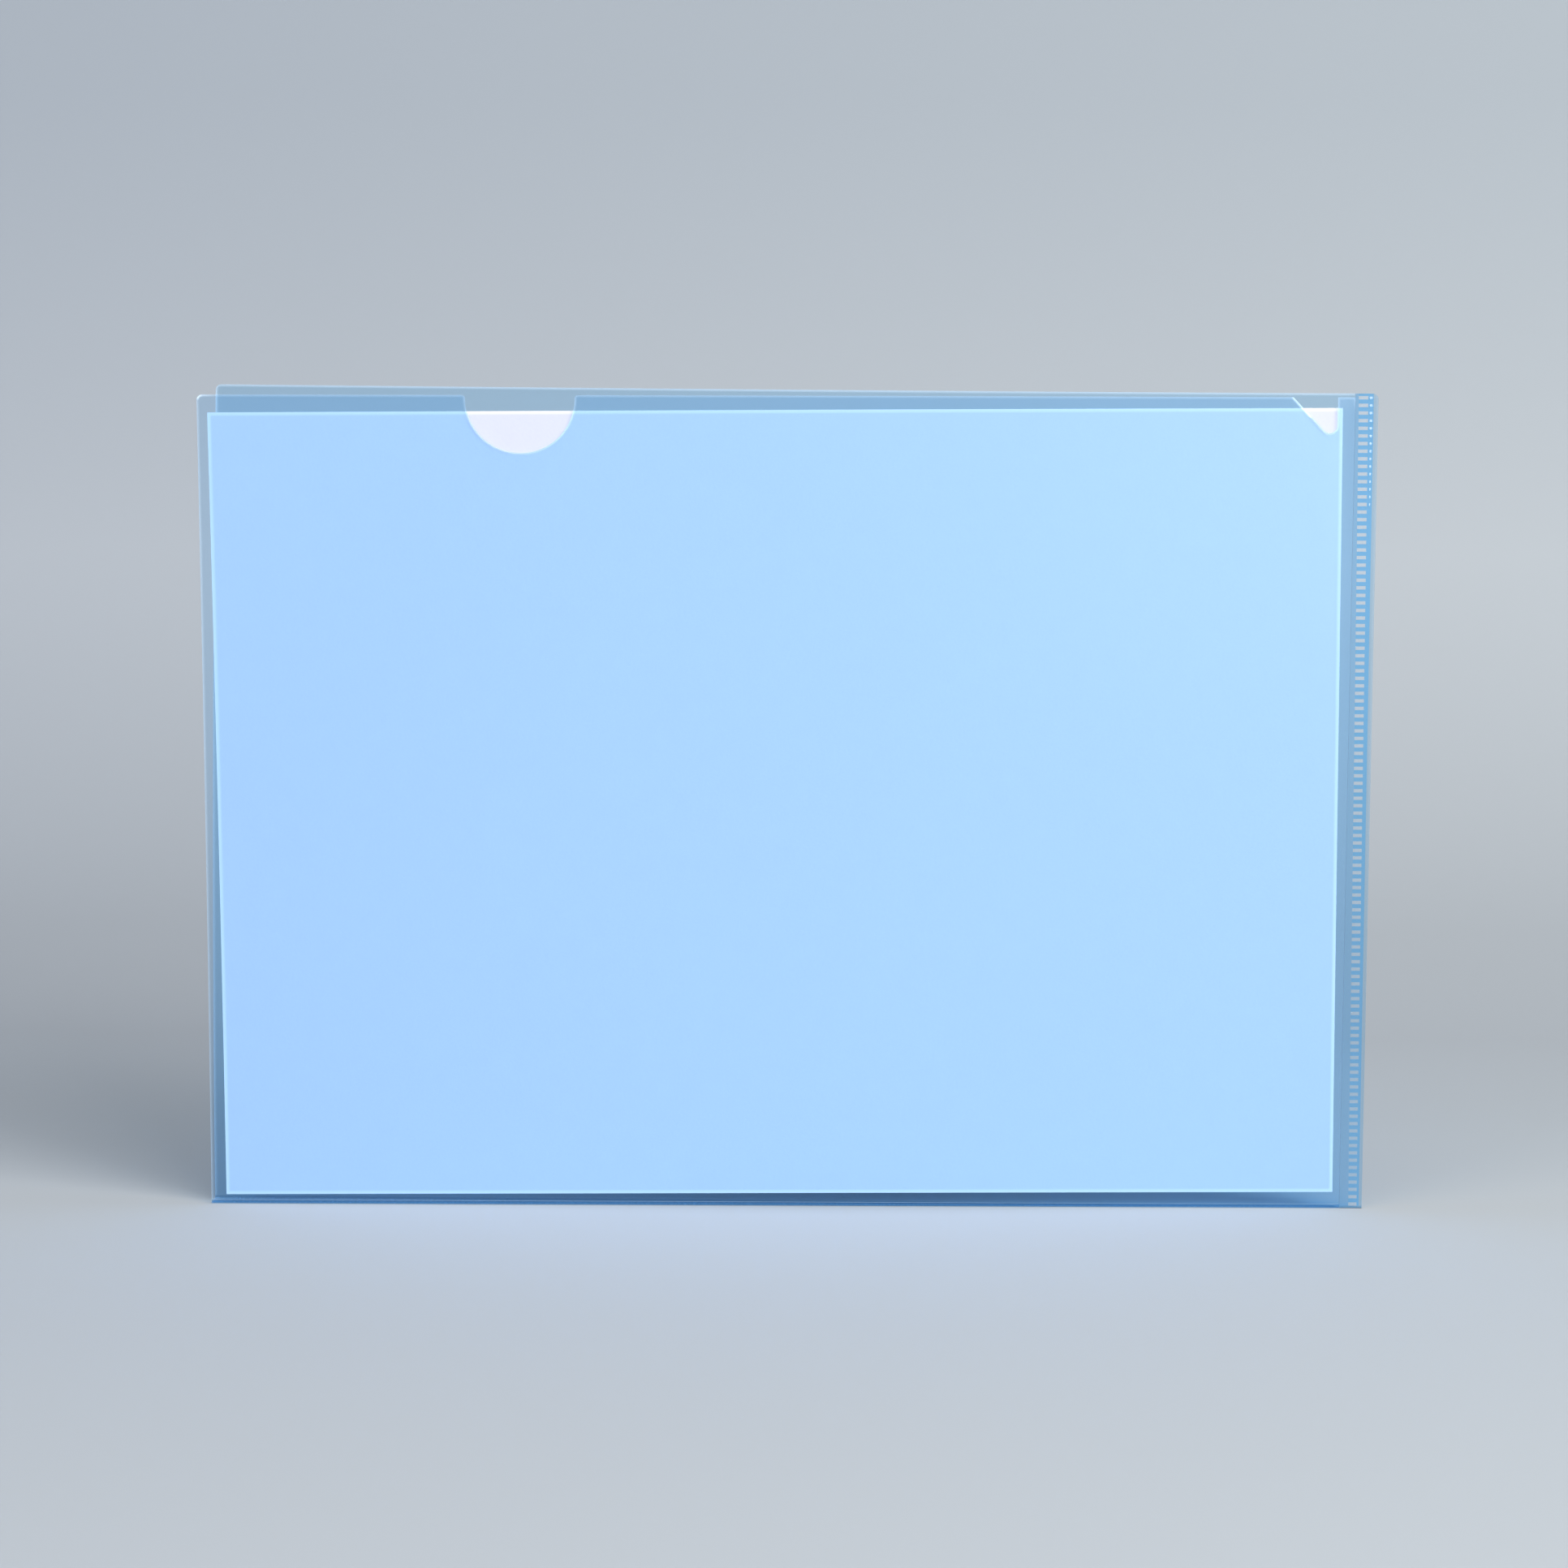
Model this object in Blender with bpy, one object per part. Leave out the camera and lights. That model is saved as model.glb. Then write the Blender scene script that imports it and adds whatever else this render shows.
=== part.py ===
# L-shaped document folder: one folded and welded sheet of clear film with a sheet of paper in it.
# Metres, +Z up, front towards -Y, weld at +X. The origin is on the table under the middle of the fold.

import math

import bmesh
import bpy
from mathutils import Vector

# Paper sheet
SHEET_WIDTH = 0.297
SHEET_HEIGHT = 0.210
SHEET_THICKNESS = 0.0001
SHEET_LIFT = 0.0025  # from the table to the sheet's lowest corner
SHEET_TILT = math.radians(0.37)  # the sheet sits a little askew, right end high

# Film round the sheet
FILM = 0.0002
LEFT_MARGIN = 0.0026
SEAM_MARGIN = 0.0019  # from the sheet to the weld
TOP_MARGIN = 0.0028  # from the sheet's highest corner to the front leaf's edge
FRONT_DROP = 0.001  # the front leaf is cut this much lower than the back leaf
MOUTH_GAP = 0.0066  # between the leaves at the open end of the fold
FRONT_CURL = 0.008  # how far the free corners spring apart
BACK_CURL = 0.022
CURL_POWER = 1.8  # 1 would be a sharp bend, 2 a round one
BEND_FOOT = 0.006  # where the bend lines start, above the open end of the fold
CURL_STRIPS = 12
CORNER_RADIUS = 0.0015
CLEARANCE = 0.0003

# Weld
RIB_PITCH = 0.002
RIB_WIDTH = 0.0011
RIB_LENGTH = 0.0035
RIB_RISE = 0.00015
RIB_INNER_MARGIN = 0.0005
RIB_OUTER_MARGIN = 0.002
RIB_END_MARGIN = 0.002

# Cut-outs in the front leaf's top edge
THUMB_RADIUS = 0.015
THUMB_FROM_LEFT = 0.085
THUMB_SHOULDER = 0.0007
RELIEF_WIDTH = 0.0117
RELIEF_DEPTH = 0.0097
RELIEF_TIP_RADIUS = 0.002
RELIEF_TAB = 0.0043  # the strip of leaf between the relief notch and the weld
ARC_STEPS = 16
SNAP = 1e-7  # points this near a cut lie on it

# Sizes that follow
TILT_RISE = SHEET_WIDTH * math.sin(SHEET_TILT)
TILT_SHIFT = SHEET_HEIGHT * math.sin(SHEET_TILT)
SHEET_TOP = SHEET_LIFT + SHEET_HEIGHT * math.cos(SHEET_TILT) + TILT_RISE
FRONT_TOP = SHEET_TOP + TOP_MARGIN
BACK_TOP = FRONT_TOP + FRONT_DROP
WELD_WIDTH = RIB_INNER_MARGIN + RIB_LENGTH + RIB_OUTER_MARGIN
SHEET_SPAN = TILT_SHIFT + SHEET_WIDTH * math.cos(SHEET_TILT)
FOLDER_WIDTH = LEFT_MARGIN + SHEET_SPAN + SEAM_MARGIN + WELD_WIDTH
LEFT = -FOLDER_WIDTH / 2
RIGHT = FOLDER_WIDTH / 2
WELD_LEFT = RIGHT - WELD_WIDTH
LEAF_RIGHT = WELD_LEFT - CLEARANCE
SEAM_GAP = SHEET_THICKNESS + 2 * CLEARANCE
RELIEF_RIGHT = LEAF_RIGHT - RELIEF_TAB

# Colours with alpha, and roughness
PALE_BLUE = (0.62, 0.83, 0.97, 0.45)
WELD_BLUE = (0.55, 0.75, 0.90, 0.60)
PAPER_WHITE = (0.86, 0.86, 0.90, 1.0)
FILM_ROUGHNESS = 0.25
WELD_ROUGHNESS = 0.35
PAPER_ROUGHNESS = 0.7


def half_gap(x):
    """Half the space between the leaves, which narrows evenly from the mouth to the weld."""
    share = (x - LEFT) / (WELD_LEFT - LEFT)
    return (MOUTH_GAP + (SEAM_GAP - MOUTH_GAP) * share) / 2


def arc(centre, radius, start, end, steps=ARC_STEPS):
    """Points (x, z) on an arc, from one angle to another in degrees."""
    angles = [math.radians(start + (end - start) * i / steps) for i in range(steps + 1)]
    return [(centre[0] + radius * math.cos(a), centre[1] + radius * math.sin(a)) for a in angles]


class BendLine:
    """The straight line that a leaf bends along, and the curl of its free corner beyond it."""

    def __init__(self, low, high, corner, curl):
        self.low = Vector(low)
        self.along = (Vector(high) - self.low).normalized()
        self.across = Vector((-self.along.y, self.along.x))
        self.reach = self.distance(*corner)
        self.curl = curl

    def distance(self, x, z):
        return (Vector((x, z)) - self.low).dot(self.across)

    def bend(self, x, z):
        share = max(self.distance(x, z), 0) / self.reach
        return self.curl * share**CURL_POWER

    def plane(self, offset):
        """A point and a normal for cutting flat film at y = 0 along the line, offset into the flap."""
        point = self.low + self.across * offset
        return (point.x, 0, point.y), (self.across.x, 0, self.across.y)


def relief_notch():
    """The relief notch from its top right, round its tip, to its top left, and its tip's last point."""
    centre = (RELIEF_RIGHT - RELIEF_TIP_RADIUS, FRONT_TOP - RELIEF_DEPTH + RELIEF_TIP_RADIUS)
    top_left = (RELIEF_RIGHT - RELIEF_WIDTH, FRONT_TOP)
    away = Vector(top_left) - Vector(centre)
    # The slanting side is tangent to the tip
    tangent = math.degrees(math.atan2(away.y, away.x) + math.acos(RELIEF_TIP_RADIUS / away.length)) - 360
    tip = arc(centre, RELIEF_TIP_RADIUS, 0, tangent, ARC_STEPS // 2)
    return [(RELIEF_RIGHT, FRONT_TOP), *tip, top_left], tip[-1]


def thumb_notch():
    """The thumb notch from its right shoulder to its left one."""
    middle = LEFT + THUMB_FROM_LEFT
    # Each shoulder is a quarter turn, tangent to the edge and to the half circle below it
    level = FRONT_TOP - THUMB_SHOULDER
    spread = THUMB_RADIUS + THUMB_SHOULDER
    right = arc((middle + spread, level), THUMB_SHOULDER, 90, 180, ARC_STEPS // 4)
    bowl = arc((middle, level), THUMB_RADIUS, 0, -180)
    left = arc((middle - spread, level), THUMB_SHOULDER, 0, 90, ARC_STEPS // 4)
    return right + bowl[1:-1] + left


def leaf_outline(top, notches=()):
    """A leaf, anticlockwise from its bottom left as seen from the front, with its free corner rounded."""
    lower = [(LEFT, 0), (LEAF_RIGHT, 0), (LEAF_RIGHT, top)]
    centre = (LEFT + CORNER_RADIUS, top - CORNER_RADIUS)
    return [*lower, *notches, *arc(centre, CORNER_RADIUS, 90, 180, ARC_STEPS // 4)]


def front_outline():
    notch, _ = relief_notch()
    return leaf_outline(FRONT_TOP, notch + thumb_notch())


def flat_film(outline, line, first_strip=0):
    """Flat film with this outline, cut into strips along the bend line."""
    bm = bmesh.new()
    bm.faces.new([bm.verts.new((x, 0, z)) for x, z in outline])
    for i in range(first_strip, CURL_STRIPS):
        cut(bm, line.plane(line.reach * i / CURL_STRIPS))
    return bm


def front_film(line, flap):
    """The front leaf's flat film: its flap, or the rest of it, each half a clearance from the bend line."""
    offset = CLEARANCE / 2 if flap else -CLEARANCE / 2
    bm = flat_film(front_outline(), line, first_strip=1)
    cut(bm, line.plane(offset))
    unwanted = [face for face in bm.faces if on_flap(face, line, offset) != flap]
    bmesh.ops.delete(bm, geom=unwanted, context="FACES")
    return bm


def on_flap(face, line, offset):
    """True beyond the bend line, except on the tab between the relief notch and the weld."""
    nearest = min(line.distance(v.co.x, v.co.z) for v in face.verts)
    left = min(v.co.x for v in face.verts)
    return nearest > offset - SNAP and left < RELIEF_RIGHT - SNAP


def cut(bm, plane):
    geom = bm.verts[:] + bm.edges[:] + bm.faces[:]
    point, normal = plane
    bmesh.ops.bisect_plane(bm, geom=geom, dist=SNAP, plane_co=point, plane_no=normal)


def thicken(flat, front_y, back_y):
    """A closed body with the flat film's outline between two surfaces y(x, z)."""
    bm = bmesh.new()
    front = {v: bm.verts.new((v.co.x, front_y(v.co.x, v.co.z), v.co.z)) for v in flat.verts}
    back = {v: bm.verts.new((v.co.x, back_y(v.co.x, v.co.z), v.co.z)) for v in flat.verts}
    for face in flat.faces:
        bm.faces.new([front[v] for v in face.verts])
        bm.faces.new([back[v] for v in reversed(face.verts)])
    for edge in flat.edges:
        if edge.is_boundary:
            a, b = edge.verts
            bm.faces.new((front[a], front[b], back[b], back[a]))
    flat.free()
    bmesh.ops.recalc_face_normals(bm, faces=bm.faces[:])
    return bm


def material(name, colour, roughness):
    mat = bpy.data.materials.new(name)
    mat.use_nodes = True
    shader = mat.node_tree.nodes["Principled BSDF"]
    shader.inputs["Base Color"].default_value = colour
    shader.inputs["Alpha"].default_value = colour[3]
    shader.inputs["Roughness"].default_value = roughness
    return mat


def make_object(name, bm, colour, roughness, origin=(0, 0, 0)):
    """An object from a mesh in world places, with its own origin and material."""
    bmesh.ops.triangulate(bm, faces=[f for f in bm.faces if len(f.verts) > 4])
    bmesh.ops.translate(bm, verts=bm.verts[:], vec=-Vector(origin))
    mesh = bpy.data.meshes.new(name)
    bm.to_mesh(mesh)
    bm.free()
    mesh.materials.append(material(name, colour, roughness))
    obj = bpy.data.objects.new(name, mesh)
    obj.location = origin
    bpy.context.collection.objects.link(obj)
    return obj


def front_face(x):
    return -half_gap(x) - FILM


def make_back_leaf():
    line = BendLine((LEFT, BEND_FOOT), (LEAF_RIGHT, BACK_TOP), (LEFT, BACK_TOP), BACK_CURL)
    body = thicken(
        flat_film(leaf_outline(BACK_TOP), line),
        lambda x, z: half_gap(x) + line.bend(x, z),
        lambda x, z: half_gap(x) + FILM + line.bend(x, z),
    )
    make_object("back_leaf", body, PALE_BLUE, FILM_ROUGHNESS)


def front_bend():
    """The line from the relief notch's tip to the open end of the fold."""
    _, tip = relief_notch()
    return BendLine((LEFT, BEND_FOOT), tip, (LEFT, FRONT_TOP), FRONT_CURL)


def make_front_leaf(line):
    body = thicken(
        front_film(line, flap=False),
        lambda x, z: front_face(x),
        lambda x, z: front_face(x) + FILM,
    )
    make_object("front_leaf", body, PALE_BLUE, FILM_ROUGHNESS)


def make_front_flap(line):
    """The free corner. Its origin is on the bend line, on the leaf's front face."""
    body = thicken(
        front_film(line, flap=True),
        lambda x, z: front_face(x) - line.bend(x, z),
        lambda x, z: front_face(x) + FILM - line.bend(x, z),
    )
    origin = (line.low.x, front_face(line.low.x), line.low.y)
    make_object("front_flap", body, PALE_BLUE, FILM_ROUGHNESS, origin)


def make_insert_sheet(line):
    """The paper, lying along the inside of the front leaf."""
    corner = Vector((LEFT + LEFT_MARGIN + TILT_SHIFT, SHEET_LIFT))
    right = Vector((math.cos(SHEET_TILT), math.sin(SHEET_TILT))) * SHEET_WIDTH
    up = Vector((-math.sin(SHEET_TILT), math.cos(SHEET_TILT))) * SHEET_HEIGHT
    outline = [tuple(p) for p in (corner, corner + right, corner + right + up, corner + up)]
    inset = FILM + CLEARANCE
    body = thicken(
        flat_film(outline, line),
        lambda x, z: front_face(x) + inset - line.bend(x, z),
        lambda x, z: front_face(x) + inset + SHEET_THICKNESS - line.bend(x, z),
    )
    origin = (corner.x, front_face(corner.x) + inset, corner.y)
    make_object("insert_sheet", body, PAPER_WHITE, PAPER_ROUGHNESS, origin)


def make_bottom_fold():
    """The strip under the sheet, between the two creases that join it to the leaves."""
    bm = bmesh.new()
    corners = [(LEFT, -1), (LEAF_RIGHT, -1), (LEAF_RIGHT, 1), (LEFT, 1)]
    strip = bm.faces.new([bm.verts.new((x, side * (half_gap(x) - CLEARANCE), 0)) for x, side in corners])
    raised = bmesh.ops.extrude_face_region(bm, geom=[strip])["geom"]
    top = [v for v in raised if isinstance(v, bmesh.types.BMVert)]
    bmesh.ops.translate(bm, verts=top, vec=(0, 0, FILM))
    bmesh.ops.recalc_face_normals(bm, faces=bm.faces[:])
    make_object("bottom_fold", bm, PALE_BLUE, FILM_ROUGHNESS)


def weld_rows():
    """Heights of the ribs' lower and upper edges, between the band's two ends."""
    count = int((BACK_TOP - 2 * RIB_END_MARGIN - RIB_WIDTH) / RIB_PITCH) + 1
    first = (BACK_TOP - (count - 1) * RIB_PITCH - RIB_WIDTH) / 2
    edges = [0.0]
    for i in range(count):
        low = first + i * RIB_PITCH
        edges += [low, low + RIB_WIDTH]
    return [*edges, BACK_TOP]


def weld_front(bm, rows, columns):
    """The band's front, with every other cell of its middle column raised into a rib."""
    grid = [[bm.verts.new((x, -FILM, z)) for x in columns] for z in rows]
    ribs = []
    for i, (low, high) in enumerate(zip(grid, grid[1:])):
        for j in range(len(columns) - 1):
            face = bm.faces.new((low[j], low[j + 1], high[j + 1], high[j]))
            if i % 2 and j == 1:
                ribs.append(face)
    raised = bmesh.ops.extrude_discrete_faces(bm, faces=ribs)["faces"]
    for face in raised:
        bmesh.ops.translate(bm, verts=face.verts[:], vec=(0, -RIB_RISE, 0))
    return grid


def make_weld_seam():
    """The fused band, two films thick, with a row of ribs pressed up on its front."""
    rows = weld_rows()
    rib_left = WELD_LEFT + RIB_INNER_MARGIN
    bm = bmesh.new()
    grid = weld_front(bm, rows, [WELD_LEFT, rib_left, rib_left + RIB_LENGTH, RIGHT])
    back = [[bm.verts.new((x, FILM, z)) for x in (WELD_LEFT, RIGHT)] for z in rows]
    for i in range(len(rows) - 1):
        low, high = back[i], back[i + 1]
        bm.faces.new((low[1], low[0], high[0], high[1]))
        bm.faces.new((low[0], grid[i][0], grid[i + 1][0], high[0]))
        bm.faces.new((grid[i][-1], low[1], high[1], grid[i + 1][-1]))
    bm.faces.new((*reversed(grid[0]), *back[0]))
    top = bm.faces.new((*grid[-1], *reversed(back[-1])))
    corner = [e for e in top.edges if all(v.co.x == back[-1][1].co.x for v in e.verts)]
    radius = min(CORNER_RADIUS, RIB_OUTER_MARGIN - CLEARANCE, RIB_END_MARGIN - CLEARANCE)
    bmesh.ops.bevel(bm, geom=corner, offset=radius, segments=ARC_STEPS // 4, profile=0.5, affect="EDGES")
    bmesh.ops.recalc_face_normals(bm, faces=bm.faces[:])
    make_object("weld_seam", bm, WELD_BLUE, WELD_ROUGHNESS)


def main():
    line = front_bend()
    make_back_leaf()
    make_bottom_fold()
    make_weld_seam()
    make_front_leaf(line)
    make_front_flap(line)
    make_insert_sheet(line)


for old in list(bpy.data.objects):
    bpy.data.objects.remove(old)
main()
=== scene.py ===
# A clear blue document folder: one sheet of film, folded along the bottom and welded at the right end,
# standing on its fold with a sheet of paper in it. Metres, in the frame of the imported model.
import math

import bmesh
import bpy
import numpy as np
from mathutils import Euler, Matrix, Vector
from mathutils.geometry import delaunay_2d_cdt


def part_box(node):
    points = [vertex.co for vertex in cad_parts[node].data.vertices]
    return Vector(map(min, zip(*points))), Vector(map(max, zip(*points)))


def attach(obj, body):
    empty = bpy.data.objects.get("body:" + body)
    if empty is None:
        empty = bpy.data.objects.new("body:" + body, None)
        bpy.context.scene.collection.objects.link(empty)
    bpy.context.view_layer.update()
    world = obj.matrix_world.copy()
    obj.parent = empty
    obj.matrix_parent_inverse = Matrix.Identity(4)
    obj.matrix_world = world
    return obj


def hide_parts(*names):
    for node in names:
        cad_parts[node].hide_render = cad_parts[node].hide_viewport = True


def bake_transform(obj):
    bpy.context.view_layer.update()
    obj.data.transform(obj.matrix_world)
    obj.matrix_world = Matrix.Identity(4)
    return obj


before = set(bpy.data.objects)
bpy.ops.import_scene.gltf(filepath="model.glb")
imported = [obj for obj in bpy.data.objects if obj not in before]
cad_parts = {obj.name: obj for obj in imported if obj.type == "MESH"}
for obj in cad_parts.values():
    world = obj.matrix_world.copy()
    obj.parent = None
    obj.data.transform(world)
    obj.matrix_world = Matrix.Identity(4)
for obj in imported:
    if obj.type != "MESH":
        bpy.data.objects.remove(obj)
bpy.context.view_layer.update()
scene = bpy.context.scene
scene.view_settings.view_transform = "Standard"
scene.cycles.transparent_max_bounces = 32  # every layer of film has two faces
print("frame loaded:", ", ".join(sorted(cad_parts)))


# Shapes that several pieces share

film = {
    "thickness": 0.0002,
    "mouthGap": 0.0066,  # between the leaves at the open end
    "seamGap": 0.0007,  # and beside the weld
    "weldGap": 0.0001,  # and where they run into it
    "pinch": 0.002,  # run over which the leaves close onto the weld
    "foldRadius": 0.0006,
    "foldShare": 0.9,  # of half the space between the leaves, where that is narrow
    "creaseHeight": 0.0011,  # where the fold meets the front leaf
    "cornerRadius": 0.0015,
    "cornerRun": 0.008,  # the rounding of a corner fades out over this height
    "cornerSteps": 8,
    "rimWidth": 0.0007,  # pale band along a cut edge, partly the cut's own whitening and partly painted highlight
    "rimShare": 0.28,  # how pale the cut edge is on the front leaf, away from the edges with a painted glint
    # how pale the cut edge is on the back leaf, partly painted highlight
    "backRimShare": 0.45,
    "meshStep": 0.004,
    "joinGap": 0.00002,  # between pieces that are one film in the real folder
}

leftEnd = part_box("back_leaf")[0].x
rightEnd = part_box("weld_seam")[1].x
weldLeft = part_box("weld_seam")[0].x
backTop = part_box("back_leaf")[1].z
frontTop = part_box("front_flap")[1].z


def ease(value, start, end):
    t = min(max((value - start) / (end - start), 0.0), 1.0)
    return t * t * (3 - 2 * t)


# The space between the leaves narrows from the open end to the weld, and closes where they run into it.
def leafGap(x):
    share = (x - leftEnd) / (weldLeft - leftEnd)
    return film["mouthGap"] + (film["seamGap"] - film["mouthGap"]) * share


def halfGap(x):
    closing = ease(x, weldLeft - film["pinch"], weldLeft)
    return leafGap(x) / 2 * (1 - closing) + film["weldGap"] / 2 * closing


# The line that a leaf bends along, and how far its free corner stands off.
def bendLine(low, high, corner, curl, power):
    along = (Vector(high) - Vector(low)).normalized()
    across = Vector((-along.y, along.x))
    reach = (Vector(corner) - Vector(low)).dot(across)
    return {"low": Vector(low), "across": across, "reach": reach, "curl": curl, "power": power}


def bendOf(line, x, z):
    past = max((Vector((x, z)) - line["low"]).dot(line["across"]), 0.0)
    return line["curl"] * (past / line["reach"]) ** line["power"]


def arc(centre, radius, fromDegrees, toDegrees, steps):
    turns = [math.radians(fromDegrees + (toDegrees - fromDegrees) * i / steps) for i in range(steps + 1)]
    return [Vector((centre[0] + radius * math.cos(t), centre[1] + radius * math.sin(t))) for t in turns]


def dividedLoop(corners, step):
    points = []
    for here, there in zip(corners, corners[1:] + corners[:1]):
        count = max(round((there - here).length / step), 1)
        points += [here.lerp(there, i / count) for i in range(count)]
    return points


def insetLoop(loop, distance):
    moved = []
    for i, point in enumerate(loop):
        before = (point - loop[i - 1]).normalized()
        after = (loop[(i + 1) % len(loop)] - point).normalized()
        inward = Vector((-before.y - after.y, before.x + after.x))
        moved.append(point + inward * distance / (1 + before.dot(after)))
    return moved


cutGrid = {
    "clearShare": 0.4,  # of a step, from the bands along the edge to the first point inside
    "scale": 1000,  # the triangles are found in millimetres
    "tolerance": 1e-5,
    "shortest": 1e-16,  # the least squared length of a run along an edge
}


def edgeDistance(points, chain, closed):
    spots = np.array([tuple(p) for p in points])
    starts = np.array([tuple(p) for p in (chain if closed else chain[:-1])])
    ends = np.array([tuple(p) for p in (chain[1:] + chain[:1] if closed else chain[1:])])
    runs = ends - starts
    lengths = np.maximum((runs**2).sum(1), cutGrid["shortest"])
    nearest = np.full(len(spots), np.inf)
    for start, run, length in zip(starts, runs, lengths):
        share = np.clip(((spots - start) @ run) / length, 0, 1)
        nearest = np.minimum(nearest, np.linalg.norm(spots - start - share[:, None] * run, axis=1))
    return nearest


def rimShares(points, chain):
    return 1 - np.clip(edgeDistance(points, chain, False) / film["rimWidth"], 0, 1)


def insideLoop(points, loop):
    spots = np.array([tuple(p) for p in points])
    inside = np.zeros(len(spots), bool)
    for a, b in zip(loop, loop[1:] + loop[:1]):
        if a.y == b.y:
            continue
        crosses = (a.y > spots[:, 1]) != (b.y > spots[:, 1])
        meets = a.x + (spots[:, 1] - a.y) / (b.y - a.y) * (b.x - a.x)
        inside ^= crosses & (spots[:, 0] < meets)
    return inside


# A flat layout of triangles for a cut outline, with narrow bands along its edge.
def cutLayout(loop, step, bands):
    points, links = [], []
    for ring in [loop] + [insetLoop(loop, band) for band in bands]:
        first = len(points)
        points += ring
        links += [(first + i, first + (i + 1) % len(ring)) for i in range(len(ring))]
    low = np.array([tuple(p) for p in loop]).min(0)
    high = np.array([tuple(p) for p in loop]).max(0)
    columns, rows = (np.ceil((high - low) / step)).astype(int)
    grid = [
        Vector((low[0] + (i + 0.5) * step, low[1] + (j + 0.5) * step))
        for i in range(columns)
        for j in range(rows)
    ]
    fromEdge = bands[-1] + step * cutGrid["clearShare"]
    clear = insideLoop(grid, loop) & (edgeDistance(grid, loop, True) > fromEdge)
    points += [p for p, keep in zip(grid, clear) if keep]
    scale = cutGrid["scale"]
    made = delaunay_2d_cdt([p * scale for p in points], links, [], 1, cutGrid["tolerance"])
    return [p / scale for p in made[0]], [tuple(face) for face in made[2]]


# A flat layout of quads from a row of widths and a row of heights.
def gridLayout(across, up):
    points = [Vector((u, v)) for v in up for u in across]
    wide = len(across)
    faces = [
        (j * wide + i, j * wide + i + 1, (j + 1) * wide + i + 1, (j + 1) * wide + i)
        for j in range(len(up) - 1)
        for i in range(wide - 1)
    ]
    return points, faces


# Even steps from start to end, with finer ones given inward from both.
def stops(start, end, step, fineStart, fineEnd):
    low = [start + f for f in fineStart]
    high = [end - f for f in reversed(fineEnd)]
    count = max(round((high[0] - low[-1]) / step), 1)
    return low + [low[-1] + (high[0] - low[-1]) * i / count for i in range(1, count)] + high


# Turns a flat layout into a closed sheet. place gives both faces of a point, rims a share for each that the
# materials read as the rim attribute (paleness near a cut edge, partly painted highlight, or the weld's
# fade), and zones which material each face takes. The last material is for the cut edges.
def thickSheet(name, layout, place, rims, materials, zones=None):
    points, faces = layout
    zones = zones or [materials[0]] * len(faces)
    bm = bmesh.new()
    rimLayer = bm.verts.layers.float.new("rim")
    front, back = [], []
    for point, rim in zip(points, rims):
        near, far = place(point.x, point.y)
        for side, spot in ((front, near), (back, far)):
            vert = bm.verts.new(spot)
            vert[rimLayer] = rim
            side.append(vert)
    runs = set()
    for face, zone in zip(faces, zones):
        for side, order in ((front, face), (back, face[::-1])):
            made = bm.faces.new([side[i] for i in order])
            made.smooth = True
            made.material_index = materials.index(zone)
        runs.update(zip(face, face[1:] + face[:1]))
    for a, b in runs:
        if (b, a) not in runs:
            wall = bm.faces.new((front[b], front[a], back[a], back[b]))
            wall.material_index = len(materials) - 1
            for edge in wall.edges:
                edge.smooth = False
    mesh = bpy.data.meshes.new(name)
    bm.to_mesh(mesh)
    bm.free()
    for material in materials:
        mesh.materials.append(material)
    piece = bpy.data.objects.new(name, mesh)
    scene.collection.objects.link(piece)
    print(f"{name}: {len(mesh.polygons)} faces")
    return piece


# Materials

def newTree(name):
    material = bpy.data.materials.new(name)
    material.use_nodes = True
    material.node_tree.nodes.clear()
    return material, material.node_tree


def addNode(tree, kind, inputs=None, **settings):
    node = tree.nodes.new(kind)
    for key, value in settings.items():
        setattr(node, key, value)
    for key, value in (inputs or {}).items():
        if isinstance(value, bpy.types.NodeSocket):
            tree.links.new(value, node.inputs[key])
        else:
            node.inputs[key].default_value = value
    return node


def noise(tree, place, scale, detail):
    node = addNode(tree, "ShaderNodeTexNoise", {"Vector": place, "Scale": scale, "Detail": detail})
    return node.outputs["Fac"]


def remap(tree, value, taken, given):
    node = addNode(
        tree, "ShaderNodeMapRange", {"Value": value, 1: taken[0], 2: taken[1], 3: given[0], 4: given[1]}
    )
    return node.outputs["Result"]


def mixColours(tree, share, first, second):
    node = addNode(tree, "ShaderNodeMix", {0: share, 6: first, 7: second}, data_type="RGBA")
    return node.outputs[2]


filmSurface = {
    "cloudScale": 14.0,
    "cloudDetail": 3.0,
    "cloudBand": (0.3, 0.7),  # the noise within this band
    "cloudHaze": (0.8, 1.2),  # changes the haze this much
    "grainScale": 1600.0,
    "grainDetail": 2.0,
    "grainBand": (0.2, 0.8),
    "grainGloss": (-0.05, 0.05),
    "grainHeight": 0.004,
    "waveScale": 9.0,
    "waveDetail": 1.0,
    "bumpDistance": 0.001,
    "bumpStrength": 0.6,
    "ior": 1.49,
}
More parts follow.
